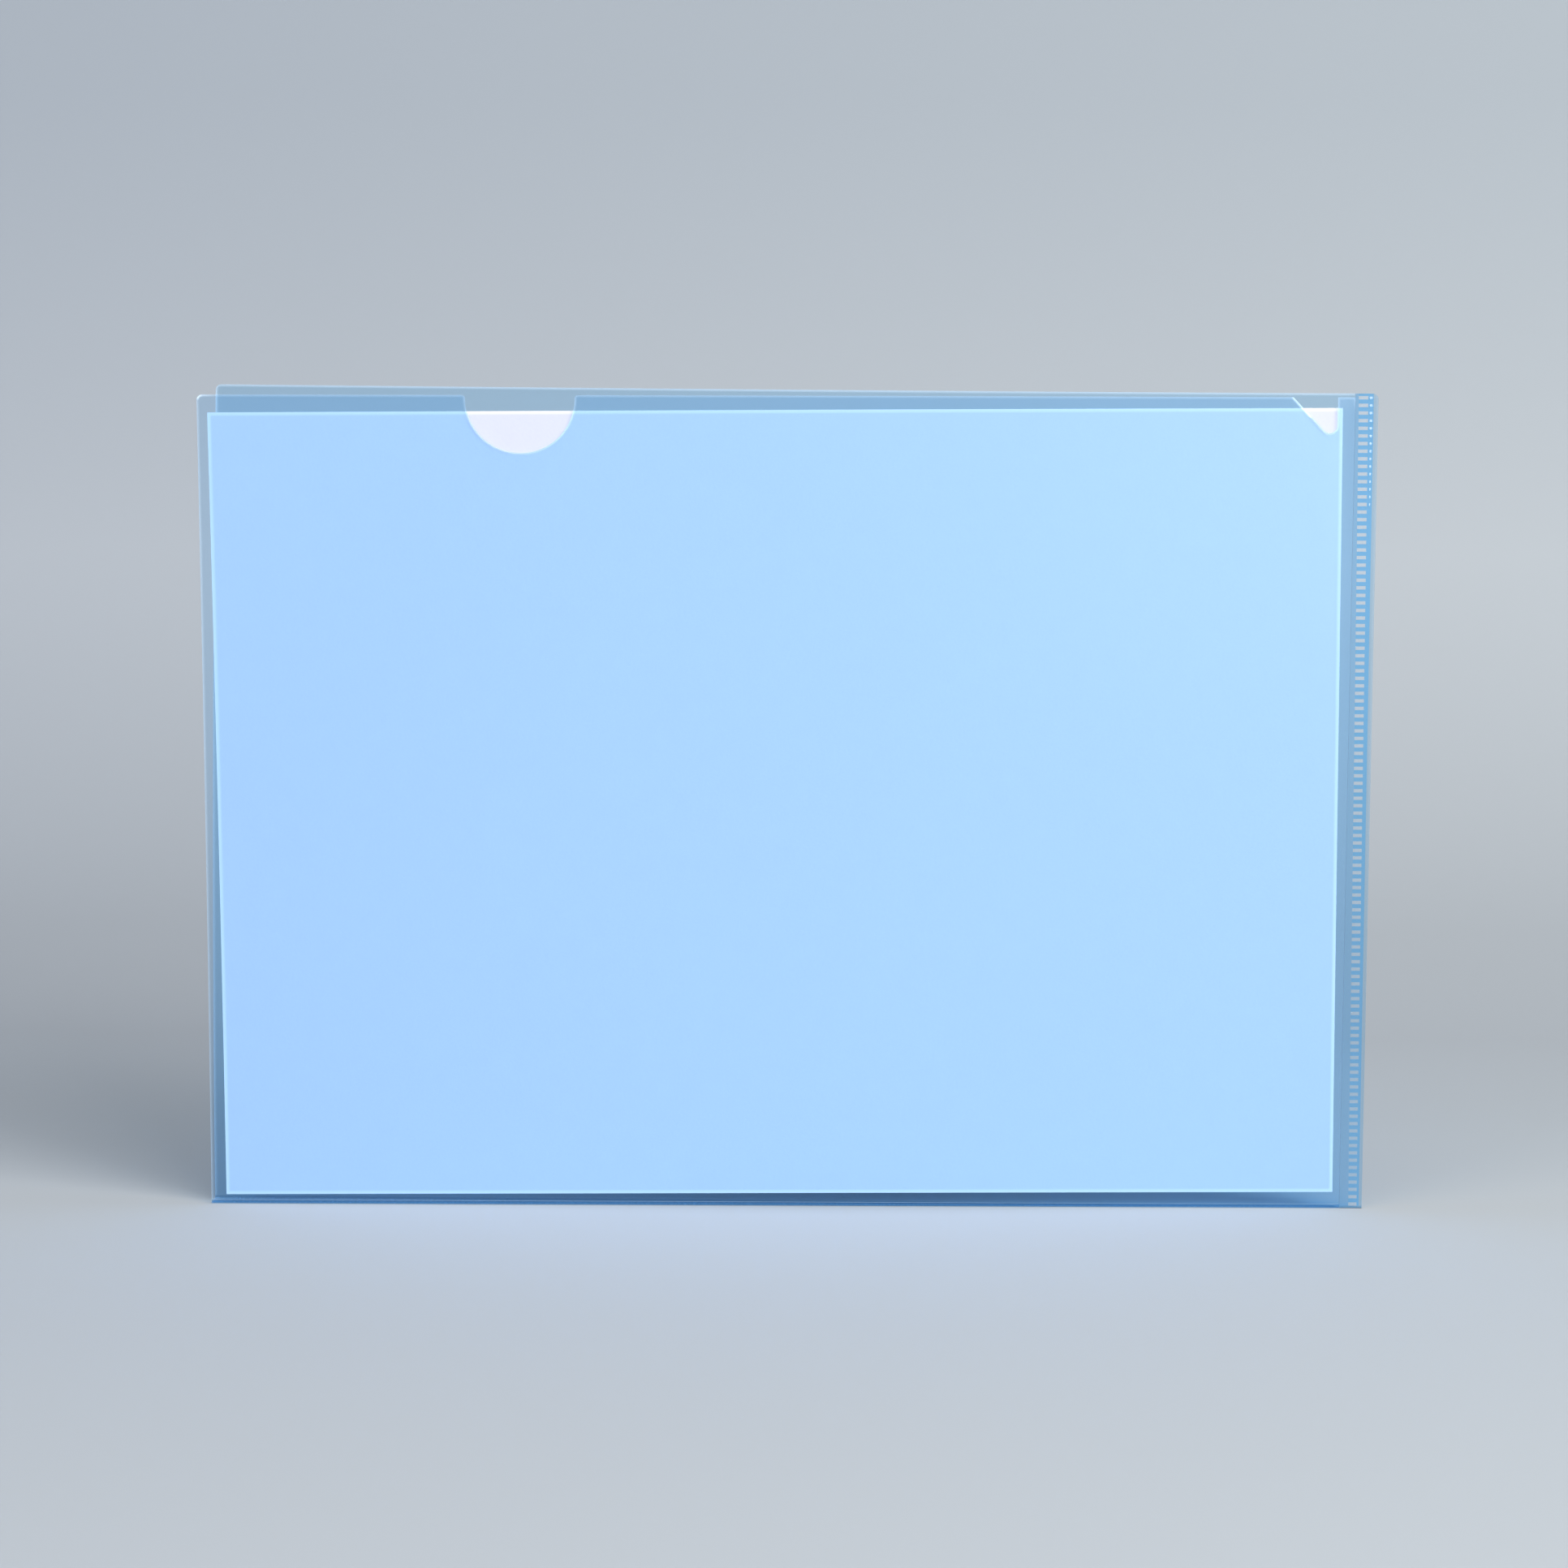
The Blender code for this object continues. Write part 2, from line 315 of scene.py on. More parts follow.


# Cloudy haze, roughness and slow waves of the film; a cut edge is paler, partly by painted highlight.
def filmGrainGroup():
    group = bpy.data.node_groups.new("filmGrain", "ShaderNodeTree")
    for way, label, kind in (
        ("INPUT", "Haze", "NodeSocketColor"),
        ("INPUT", "Edge Haze", "NodeSocketColor"),
        ("INPUT", "Edge", "NodeSocketFloat"),
        ("INPUT", "Gloss", "NodeSocketFloat"),
        ("INPUT", "Wave", "NodeSocketFloat"),
        ("OUTPUT", "Color", "NodeSocketColor"),
        ("OUTPUT", "Roughness", "NodeSocketFloat"),
        ("OUTPUT", "Height", "NodeSocketFloat"),
    ):
        group.interface.new_socket(label, in_out=way, socket_type=kind)
    given = group.nodes.new("NodeGroupInput").outputs
    place = group.nodes.new("ShaderNodeTexCoord").outputs["Object"]
    clouds = noise(group, place, filmSurface["cloudScale"], filmSurface["cloudDetail"])
    grain = noise(group, place, filmSurface["grainScale"], filmSurface["grainDetail"])
    waves = noise(group, place, filmSurface["waveScale"], filmSurface["waveDetail"])
    mottle = remap(group, clouds, filmSurface["cloudBand"], filmSurface["cloudHaze"])
    hazy = addNode(group, "ShaderNodeVectorMath", {0: given["Haze"], "Scale": mottle}, operation="SCALE")
    rough = remap(group, grain, filmSurface["grainBand"], filmSurface["grainGloss"])
    gloss = addNode(group, "ShaderNodeMath", {0: given["Gloss"], 1: rough}, operation="ADD")
    swell = addNode(group, "ShaderNodeMath", {0: waves, 1: given["Wave"]}, operation="MULTIPLY")
    fine = addNode(
        group,
        "ShaderNodeMath",
        {0: grain, 1: filmSurface["grainHeight"], 2: swell.outputs[0]},
        operation="MULTIPLY_ADD",
    )
    addNode(
        group,
        "NodeGroupOutput",
        {
            "Color": mixColours(group, given["Edge"], hazy.outputs["Vector"], given["Edge Haze"]),
            "Roughness": gloss.outputs[0],
            "Height": fine.outputs[0],
        },
    )
    return group


filmGrain = filmGrainGroup()

frontLook = {
    "tint": (0.832, 0.926, 0.996, 1),  # what one face lets through; a layer has two
    "edgeTint": (0.84, 0.92, 0.98, 1),
    "haze": (0.002, 0.005, 0.011, 1),
    "edgeHaze": (0.32, 0.34, 0.36, 1),
    "gloss": 0.32,
    "shine": 0.13,
    "wave": 1.0,
}
backLook = {
    "tint": (0.800, 0.920, 0.991, 1),
    "edgeTint": (0.84, 0.92, 0.98, 1),
    "haze": (0.003, 0.007, 0.015, 1),
    "edgeHaze": (0.32, 0.34, 0.36, 1),
    "gloss": 0.34,
    "shine": 0.06,
    "wave": 1.0,
}
foldShadeLook = {  # the film along the fold is tinted deeper: painted shade in the crease
    "tint": (0.64, 0.80, 0.91, 1),
    "edgeTint": (0.60, 0.76, 0.88, 1),
    "haze": (0.002, 0.005, 0.011, 1),
    "edgeHaze": (0.05, 0.08, 0.11, 1),
    "gloss": 0.28,
    "shine": 0.2,
    "wave": 0.3,
}
weldLook = {  # the two leaves fused
    "tint": (0.575, 0.832, 0.985, 1),
    "edgeTint": (0.62, 0.85, 0.98, 1),
    "haze": (0.006, 0.020, 0.050, 1),
    "gloss": 0.28,
    "shine": 0.06,
    "wave": 0.5,
}
seamLook = {  # the leaves lying on each other beside the bars
    "tint": (0.668, 0.853, 0.985, 1),
    "haze": (0.005, 0.012, 0.026, 1),
    "gloss": 0.3,
    "shine": 0.06,
    "wave": 0.6,
}
marginLook = {  # outside the weld
    "tint": (0.79, 0.90, 0.97, 1),
    "edgeTint": (0.80, 0.88, 0.93, 1),
    "haze": (0.004, 0.007, 0.012, 1),
    "edgeHaze": (0.06, 0.065, 0.07, 1),
    "gloss": 0.3,
    "shine": 0.06,
    "wave": 0.6,
}
pressedLook = {  # pressed thin and clear under the welding bars, less so further down
    "tint": (0.95, 0.965, 0.98, 1),
    "edgeTint": (0.68, 0.875, 0.98, 1),
    "haze": (0.012, 0.013, 0.014, 1),
    "edgeHaze": (0.008, 0.016, 0.036, 1),
    "gloss": 0.26,
    "shine": 0.08,
    "wave": 0.2,
}
beadAndGlintLook = {  # small beads squeezed out beside the bars; their white haze is partly a painted glint
    "tint": (0.66, 0.68, 0.70, 1),
    "haze": (0.33, 0.34, 0.35, 1),
    "gloss": 0.27,
    "shine": 0.13,
    "wave": 0.1,
}


# Clear dyed film: light passes straight through with its tint, and the surface adds haze and gloss.
def clearFilm(name, look):
    material, tree = newTree(name)
    # rim: paleness near a cut edge, partly painted highlight; on the weld, its fade
    rim = addNode(tree, "ShaderNodeAttribute", attribute_name="rim").outputs["Fac"]
    grain = addNode(
        tree,
        "ShaderNodeGroup",
        {
            "Haze": look["haze"],
            "Edge Haze": look.get("edgeHaze", look["haze"]),
            "Edge": rim,
            "Gloss": look["gloss"],
            "Wave": look["wave"],
        },
        node_tree=filmGrain,
    )
    tint = look["tint"]
    if "edgeTint" in look:
        tint = mixColours(tree, rim, look["tint"], look["edgeTint"])
    bump = addNode(
        tree,
        "ShaderNodeBump",
        {
            "Height": grain.outputs["Height"],
            "Distance": filmSurface["bumpDistance"],
            "Strength": filmSurface["bumpStrength"],
        },
    )
    surface = addNode(
        tree,
        "ShaderNodeBsdfPrincipled",
        {
            "Base Color": grain.outputs["Color"],
            "Roughness": grain.outputs["Roughness"],
            "IOR": filmSurface["ior"],
            "Specular IOR Level": look["shine"],
            "Normal": bump.outputs["Normal"],
        },
    )
    through = addNode(tree, "ShaderNodeBsdfTransparent", {"Color": tint})
    both = addNode(tree, "ShaderNodeAddShader", {0: through.outputs[0], 1: surface.outputs[0]})
    addNode(tree, "ShaderNodeOutputMaterial", {"Surface": both.outputs[0]})
    return material


cutLook = {
    "dark": (0.527, 0.629, 0.731, 1),
    "light": (0.62, 0.74, 0.86, 1),
    "nickScale": 900.0,
    "nickDetail": 2.0,
    "roughness": (0.3, 0.5),
    "nickDepth": 0.0001,
    "nickStrength": 0.4,
}


# Cut faces of the film catch the light along the whole edge.
def cutFilm(name, look):
    material, tree = newTree(name)
    place = addNode(tree, "ShaderNodeTexCoord").outputs["Object"]
    nicks = noise(tree, place, look["nickScale"], look["nickDetail"])
    bump = addNode(
        tree,
        "ShaderNodeBump",
        {"Height": nicks, "Distance": look["nickDepth"], "Strength": look["nickStrength"]},
    )
    surface = addNode(
        tree,
        "ShaderNodeBsdfPrincipled",
        {
            "Base Color": mixColours(tree, nicks, look["dark"], look["light"]),
            "Roughness": remap(tree, nicks, (0, 1), look["roughness"]),
            "IOR": filmSurface["ior"],
            "Normal": bump.outputs["Normal"],
        },
    )
    addNode(tree, "ShaderNodeOutputMaterial", {"Surface": surface.outputs[0]})
    return material


paperLook = {
    "dark": (0.752, 0.771, 0.912, 1),
    "light": (0.798, 0.819, 0.968, 1),
    # painted highlight along the paper's edges
    "edge": (0.98, 0.99, 1.0, 1),
    "fibreScale": 1200.0,
    "fibreDetail": 4.0,
    "blotchScale": 180.0,
    "blotchDetail": 3.0,
    "blotchShare": 0.4,
    "fibreDepth": 0.00005,
    "fibreStrength": 0.5,
    "roughness": 0.75,
    "shine": 0.25,
}


# White paper with fine fibres and faint blotches, and a painted highlight along its edges.
def paperMaterial(name, look):
    material, tree = newTree(name)
    place = addNode(tree, "ShaderNodeTexCoord").outputs["Object"]
    rim = addNode(tree, "ShaderNodeAttribute", attribute_name="rim").outputs["Fac"]
    fibre = noise(tree, place, look["fibreScale"], look["fibreDetail"])
    blotch = noise(tree, place, look["blotchScale"], look["blotchDetail"])
    mottle = addNode(tree, "ShaderNodeMix", {0: look["blotchShare"], 2: fibre, 3: blotch}).outputs[0]
    tone = mixColours(tree, mottle, look["dark"], look["light"])
    bump = addNode(
        tree,
        "ShaderNodeBump",
        {"Height": fibre, "Distance": look["fibreDepth"], "Strength": look["fibreStrength"]},
    )
    surface = addNode(
        tree,
        "ShaderNodeBsdfPrincipled",
        {
            "Base Color": mixColours(tree, rim, tone, look["edge"]),
            "Roughness": look["roughness"],
            "Specular IOR Level": look["shine"],
            "Normal": bump.outputs["Normal"],
        },
    )
    addNode(tree, "ShaderNodeOutputMaterial", {"Surface": surface.outputs[0]})
    return material


frontBlue = clearFilm("frontBlueFilm", frontLook)
backBlue = clearFilm("backBlueFilm", backLook)
weldedFilm = clearFilm("weldedFilm", weldLook)
seamFilm = clearFilm("seamFilm", seamLook)
foldShadeFilm = clearFilm("foldedFilmShade", foldShadeLook)
marginFilm = clearFilm("marginFilm", marginLook)
pressedFilm = clearFilm("pressedFilm", pressedLook)
beadAndGlintFilm = clearFilm("beadAndGlintFilm", beadAndGlintLook)
cutEdge = cutFilm("cutFilmEdge", cutLook)
whitePaper = paperMaterial("whitePaper", paperLook)
print("materials made")


# Front leaf, with its thumb notch and the relief notch beside the weld

frontLeaf = {
    "thumbFromLeft": 0.084,
    "thumbRadius": 0.0143,
    "thumbShoulder": 0.0009,
    "thumbSteps": 48,
    "reliefTab": 0.0046,  # film left between the relief notch and the weld
    "reliefWidth": 0.0117,
    "reliefDepth": 0.0094,
    "reliefTip": 0.002,
    "tipSteps": 12,
    "slantPaintedGlint": 0.55,  # share of the slanting edge that gets a painted glint
    "curl": 0.008,
    "curlPower": 1.8,
    "bendFoot": 0.006,  # height of the bend line at the open end
    "turnWidth": 0.07,  # the film turns over this width when the corner is opened
}
joinRight = weldLeft - film["joinGap"]
reliefRight = weldLeft - frontLeaf["reliefTab"]
tipCentre = Vector(
    (reliefRight - frontLeaf["reliefTip"], frontTop - frontLeaf["reliefDepth"] + frontLeaf["reliefTip"])
)
reliefCorner = Vector((reliefRight - frontLeaf["reliefWidth"], frontTop))
slant = reliefCorner - tipCentre
slantTurn = math.atan2(slant.y, slant.x) + math.acos(frontLeaf["reliefTip"] / slant.length)
tipTurn = math.degrees(slantTurn) - 360
tipArc = arc(tipCentre, frontLeaf["reliefTip"], 0, tipTurn, frontLeaf["tipSteps"])
slantLow = reliefCorner.lerp(tipArc[-1], frontLeaf["slantPaintedGlint"])
slantStep = (reliefCorner - tipArc[-1]).normalized() * film["rimWidth"]
cornerCentre = Vector((leftEnd + film["cornerRadius"], frontTop - film["cornerRadius"]))
cornerArc = arc(cornerCentre, film["cornerRadius"], 90, 180, film["cornerSteps"])

frontBend = bendLine(
    (leftEnd, frontLeaf["bendFoot"]),
    tipArc[-1],
    (leftEnd, frontTop),
    frontLeaf["curl"],
    frontLeaf["curlPower"],
)


def frontOutline():
    shoulder = frontLeaf["thumbShoulder"]
    spread = Vector((frontLeaf["thumbRadius"] + shoulder, 0))
    thumb = Vector((leftEnd + frontLeaf["thumbFromLeft"], frontTop - shoulder))
    corners = [
        Vector((leftEnd, film["creaseHeight"])),
        Vector((joinRight, film["creaseHeight"])),
        Vector((joinRight, frontTop)),
        Vector((reliefRight, frontTop)),
    ]
    corners += tipArc
    corners += [slantLow - slantStep, slantLow, reliefCorner, reliefCorner - Vector((film["rimWidth"], 0))]
    corners += arc(thumb + spread, shoulder, 90, 180, film["cornerSteps"])
    corners += arc(thumb, frontLeaf["thumbRadius"], 0, -180, frontLeaf["thumbSteps"])[1:-1]
    corners += arc(thumb - spread, shoulder, 0, 90, film["cornerSteps"])
    corners += cornerArc
    corners.append(Vector((leftEnd, cornerCentre.y - film["rimWidth"])))
    return corners


def frontPlace(x, z):
    far = -halfGap(x) - bendOf(frontBend, x, z)
    return (x, far - film["thickness"], z), (x, far, z)


frontCorners = frontOutline()
frontLayout = cutLayout(
    dividedLoop(frontCorners, film["meshStep"]), film["meshStep"], [film["rimWidth"] / 2, film["rimWidth"]]
)
frontFree = frontCorners[2:] + frontCorners[:1]  # every edge but the crease and the weld side
frontEdgeWhiteAndGlints = rimShares(frontLayout[0], frontFree) * film["rimShare"]
for paintedGlint in ([reliefCorner, slantLow], cornerArc[1:-2]):  # painted glints: these edges are made fully pale, as if they catch the key light
    frontEdgeWhiteAndGlints = np.maximum(frontEdgeWhiteAndGlints, rimShares(frontLayout[0], paintedGlint))
frontFilm = thickSheet("frontFilm", frontLayout, frontPlace, frontEdgeWhiteAndGlints, [frontBlue, cutEdge])
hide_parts("front_leaf", "front_flap")
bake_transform(frontFilm)


# Back leaf and the fold under the paper, one run of film up to the front crease

backLeaf = {
    "curl": 0.022,
    "curlPower": 1.8,
    "bendFoot": 0.006,
    "foldSteps": 6,
    "topStops": [0, 0.00035, 0.0007, 0.0015],  # fine rows and columns of the mesh, in from each edge
    "leftStops": [0, 0.0002, 0.0005, 0.0009, 0.0015],
    "weldStops": [0, 0.0005, 0.001, 0.0015, 0.002],
}
backBend = bendLine(
    (leftEnd, backLeaf["bendFoot"]),
    (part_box("back_leaf")[1].x, backTop),
    (leftEnd, backTop),
    backLeaf["curl"],
    backLeaf["curlPower"],
)


# How far a rounded corner lies below the top edge.
def cornerDrop(inFromEnd):
    radius = film["cornerRadius"]
    toCentre = radius - min(inFromEnd, radius)
    return radius - math.sqrt(radius**2 - toCentre**2)


# The fold's middle line at x, from the front crease to the back leaf, with the way its inside faces.
def foldPath(x):
    steps = backLeaf["foldSteps"]
    half = halfGap(x) + film["thickness"] / 2
    bottom = film["thickness"] / 2
    radius = min(film["foldRadius"], half * film["foldShare"])
    path = [(-half, film["creaseHeight"] - film["joinGap"], 1, 0)]
    turns = [math.pi / 2 * i / steps for i in range(steps + 1)]
    for side, order in ((-1, turns), (1, turns[::-1])):
        for turn in order:
            y = side * (half - radius * (1 - math.cos(turn)))
            z = bottom + radius * (1 - math.sin(turn))
            path.append((y, z, -side * math.cos(turn), math.sin(turn)))
    return path


foldRows = len(foldPath(leftEnd))
backHeights = stops(film["creaseHeight"], backTop, film["meshStep"], [0], backLeaf["topStops"])
backRows = list(range(foldRows + len(backHeights)))
backColumns = stops(leftEnd, joinRight, film["meshStep"], backLeaf["leftStops"], backLeaf["weldStops"])


def backHeight(x, row):
    height = backHeights[row - foldRows]
    return height - cornerDrop(x - leftEnd) * ease(height, backTop - film["cornerRun"], backTop)


def backPlace(x, row):
    half = film["thickness"] / 2
    row = int(row)
    if row < foldRows:
        y, z, faceY, faceZ = foldPath(x)[row]
        return (x, y + faceY * half, z + faceZ * half), (x, y - faceY * half, z - faceZ * half)
    z = backHeight(x, row)
    near = halfGap(x) + bendOf(backBend, x, z)
    return (x, near, z), (x, near + film["thickness"], z)


backLayout = gridLayout(backColumns, backRows)
backEdgeWhiteAndHighlight = []
for spot in backLayout[0]:
    row = int(spot.y)
    fromTop = backTop - backHeights[row - foldRows] if row >= foldRows else math.inf
    near = min(fromTop, spot.x - leftEnd)
    backEdgeWhiteAndHighlight.append(film["backRimShare"] * (1 - min(near / film["rimWidth"], 1.0)))
foldFaces = (foldRows - 1) * (len(backColumns) - 1)
backZones = [foldShadeFilm if i < foldFaces else backBlue for i in range(len(backLayout[1]))]
backFilm = thickSheet("backFilm", backLayout, backPlace, backEdgeWhiteAndHighlight, [backBlue, foldShadeFilm, cutEdge], backZones)
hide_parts("back_leaf", "bottom_fold")
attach(backFilm, "folder")


# Weld: the two leaves fused into one band, with pressed ribs and a row of small beads beside them

weld = {
    "ribPitch": 0.002,
    "ribInner": 0.00085,  # from the band's inner side to the ribs
    "ribLength": 0.0025,
    "ribLowLength": 0.0022,  # of the lowest one
    "ribHeight": 0.0009,
    "ribRise": 0.00012,
    "beadGap": 0.00025,
    "beadLength": 0.0009,
    "beadLowScale": 0.35,  # the beads grow shorter further down
    "beadHeight": 0.0007,
    "beadRise": 0.00018,
    "endMargin": 0.0006,
    "beadShare": 0.14,  # the upper part of the weld has beads
    "lean": 0.0060,  # the row of bars comes nearer to the edge further down
    "marginLean": 0.0022,
    "fadeTop": 0.16,  # and is pressed less below this height
    "fadeMost": 0.4,
    "fadeFoot": 0.007,  # but for the lowest bars
    "topStop": 0.0003,  # fine row and columns of the mesh, in from the top and the edge
    "edgeStops": (0.0007, 0.00045, 0.00025, 0.0001, 0.00003, 0),
    "barVertices": (4, 2, 3),  # of a bar before it is rounded, along X, Y and Z
    "barLevel": 1,
}
ribStart = weldLeft + weld["ribInner"]
ribEnd = ribStart + weld["ribLength"]
marginStart = ribEnd + 2 * weld["beadGap"] + weld["beadLength"]
ribCount = int((backTop - 2 * weld["endMargin"] - weld["ribHeight"]) / weld["ribPitch"]) + 1
ribFirst = (backTop - (ribCount - 1) * weld["ribPitch"]) / 2  # middle of the lowest rib
weldColumns = [weldLeft, ribStart, ribStart + weld["ribLength"] / 2, ribEnd, marginStart]
outerColumns = [rightEnd - inFromEnd for inFromEnd in weld["edgeStops"]]
weldColumns += outerColumns
ribStartLean = weld["lean"] + (weld["ribLength"] - weld["ribLowLength"]) / backTop
weldHeights = [0.0]
for i in range(ribCount):
    middle = ribFirst + i * weld["ribPitch"]
    weldHeights += [middle - weld["ribHeight"] / 2, middle + weld["ribHeight"] / 2]
weldHeights += [backTop - weld["topStop"], backTop]


def weldPlace(x, z):
    columns = [weldLeft, ribStart, ribEnd, marginStart, outerColumns[0]]
    x += (backTop - z) * np.interp(x, columns, [0, ribStartLean, weld["lean"], weld["marginLean"], 0])
    z -= cornerDrop(rightEnd - x) * ease(z, backTop - film["cornerRun"], backTop)
    return (x, -film["thickness"], z), (x, film["thickness"], z)


def weldZone(column, row):
    # the bottom row takes the fold's painted shade
    if row == 0:
        return foldShadeFilm
    if weldColumns[column] < ribStart:
        return seamFilm
    if weldColumns[column] >= marginStart:
        return marginFilm
    atBar = row % 2 == 1 and row < 2 * ribCount
    return pressedFilm if atBar and weldColumns[column] < ribEnd else weldedFilm


# The weld is less clear further down, and the margin is pale along its edge, partly a painted highlight
# that fades further down.
weldLayout = gridLayout(weldColumns, weldHeights)
weldFadeAndEdgeHighlight = []
for spot in weldLayout[0]:
    if spot.x < (marginStart + outerColumns[0]) / 2:
        fade = ease(spot.y, 0, weld["fadeFoot"]) * (1 - ease(spot.y, 0, weld["fadeTop"]))
        weldFadeAndEdgeHighlight.append(weld["fadeMost"] * fade)
    else:
        edge = 1 - min(min(backTop - spot.y, rightEnd - spot.x) / film["rimWidth"], 1.0)
        weldFadeAndEdgeHighlight.append(edge * ease(spot.y, 0, weld["fadeTop"]))
weldZones = [weldZone(i, j) for j in range(len(weldHeights) - 1) for i in range(len(weldColumns) - 1)]
weldMaterials = [weldedFilm, pressedFilm, marginFilm, seamFilm, foldShadeFilm, cutEdge]
weldBand = thickSheet("weldBand", weldLayout, weldPlace, weldFadeAndEdgeHighlight, weldMaterials, weldZones)
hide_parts("weld_seam")
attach(weldBand, "folder")


# One small rounded bar repeated up the weld.
def ribTree():
    tree = bpy.data.node_groups.new("weldRow", "GeometryNodeTree")
    for label, kind in (
        ("Bar Size", "NodeSocketVector"),
        ("First Place", "NodeSocketVector"),
        ("Count", "NodeSocketInt"),
        ("Step", "NodeSocketVector"),
        ("Low Scale", "NodeSocketFloat"),
        ("Finish", "NodeSocketMaterial"),
    ):
        tree.interface.new_socket(label, in_out="INPUT", socket_type=kind)
    tree.interface.new_socket("Geometry", in_out="OUTPUT", socket_type="NodeSocketGeometry")
    given = tree.nodes.new("NodeGroupInput").outputs
    row = addNode(
        tree,
        "GeometryNodeMeshLine",
        {"Count": given["Count"], "Start Location": given["First Place"], "Offset": given["Step"]},
    )
    wide, deep, high = weld["barVertices"]
    block = addNode(
        tree,
        "GeometryNodeMeshCube",
        {"Size": given["Bar Size"], "Vertices X": wide, "Vertices Y": deep, "Vertices Z": high},
    )
    bar = addNode(
        tree, "GeometryNodeSubdivisionSurface", {"Mesh": block.outputs["Mesh"], "Level": weld["barLevel"]}
    )
    smooth = addNode(tree, "GeometryNodeSetShadeSmooth", {"Geometry": bar.outputs["Mesh"]})
    index = addNode(tree, "GeometryNodeInputIndex").outputs["Index"]
    length = addNode(tree, "ShaderNodeMapRange", {"Value": index, 2: given["Count"], 3: given["Low Scale"]})
    scale = addNode(tree, "ShaderNodeCombineXYZ", {"X": length.outputs["Result"], "Y": 1.0, "Z": 1.0})
    bars = addNode(
        tree,
        "GeometryNodeInstanceOnPoints",
        {
            "Points": row.outputs["Mesh"],
            "Instance": smooth.outputs["Geometry"],
            "Scale": scale.outputs["Vector"],
        },
    )
    real = addNode(tree, "GeometryNodeRealizeInstances", {"Geometry": bars.outputs["Instances"]})
    done = addNode(
        tree, "GeometryNodeSetMaterial", {"Geometry": real.outputs["Geometry"], "Material": given["Finish"]}
    )
    addNode(tree, "NodeGroupOutput", {"Geometry": done.outputs["Geometry"]})
    return tree


weldRow = ribTree()


# middle is where the row would meet the top, and lowest the number of the bar it starts at.
def weldRowPiece(name, size, middle, lean, lowScale, lowest, finish):
    count = ribCount - lowest
    height = ribFirst + lowest * weld["ribPitch"]
    first = (middle + lean * (backTop - height), -film["thickness"] - film["joinGap"], height)
    piece = bpy.data.objects.new(name, bpy.data.meshes.new(name))
    scene.collection.objects.link(piece)
    modifier = piece.modifiers.new("row", "NODES")
    modifier.node_group = weldRow
    items = weldRow.interface.items_tree
    sockets = {item.name: item.identifier for item in items if item.in_out == "INPUT"}
    for label, value in (
        ("Bar Size", size),
        ("First Place", first),
        ("Count", count),
        ("Step", (-lean * weld["ribPitch"], 0, weld["ribPitch"])),
        ("Low Scale", lowScale),
        ("Finish", finish),
    ):
        modifier[sockets[label]] = value
    evaluated = piece.evaluated_get(bpy.context.evaluated_depsgraph_get())
    mesh = bpy.data.meshes.new_from_object(evaluated)
    piece.modifiers.clear()
    piece.data = mesh
    mesh.name = name
    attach(piece, "folder")
    print(f"{name}: {count} bars, {len(mesh.polygons)} faces")
    return piece


weldRibs = weldRowPiece(
    "weldRibs",
    (weld["ribLength"], weld["ribRise"] * 2, weld["ribHeight"]),
    (ribStart + ribEnd) / 2,
    (ribStartLean + weld["lean"]) / 2,
    weld["ribLowLength"] / weld["ribLength"],
    0,
    pressedFilm,
)
weldBeads = weldRowPiece(
    "weldBeads",
    (weld["beadLength"], weld["beadRise"] * 2, weld["beadHeight"]),
    ribEnd + weld["beadGap"] + weld["beadLength"] / 2,
    weld["lean"],
    weld["beadLowScale"],
    round(ribCount * (1 - weld["beadShare"])),
    beadAndGlintFilm,
)


# Paper, a little askew, lying against the front leaf

paper = {
    "width": 0.297,
    "height": 0.210,
    "thickness": 0.0001,
    "fromLeft": 0.0026,
    "lift": 0.0025,
    "tilt": math.radians(0.37),
    "clearance": 0.0003,  # behind the front leaf
    "rimWidth": 0.0011,
    "edgeHighlightGain": 1.7,  # above 1, the painted highlight is at full strength over part of its width
}
paperRight = Vector((math.cos(paper["tilt"]), math.sin(paper["tilt"])))
paperUp = Vector((-paperRight.y, paperRight.x))
paperCorner = Vector((leftEnd + paper["fromLeft"] + paper["height"] * paperRight.y, paper["lift"]))


def paperPlace(u, v):
    spot = paperCorner + paperRight * u + paperUp * v
    near = paper["clearance"] - leafGap(spot.x) / 2 - bendOf(frontBend, spot.x, spot.y)
    return (spot.x, near, spot.y), (spot.x, near + paper["thickness"], spot.y)


paperFine = [0, paper["rimWidth"] / 2, paper["rimWidth"]]
paperLayout = gridLayout(
    stops(0, paper["width"], film["meshStep"], paperFine, paperFine),
    stops(0, paper["height"], film["meshStep"], paperFine, paperFine),
)
paperEdgeHighlight = []
for spot in paperLayout[0]:
    fromEdge = min(spot.x, paper["width"] - spot.x, spot.y, paper["height"] - spot.y)
    paperEdgeHighlight.append(min(paper["edgeHighlightGain"] * max(1 - fromEdge / paper["rimWidth"], 0.0), 1.0))
paperSheet = thickSheet("paperSheet", paperLayout, paperPlace, paperEdgeHighlight, [whitePaper])
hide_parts("insert_sheet")
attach(paperSheet, "sheet")


# Studio: a seamless sweep, soft boxes and a long lens

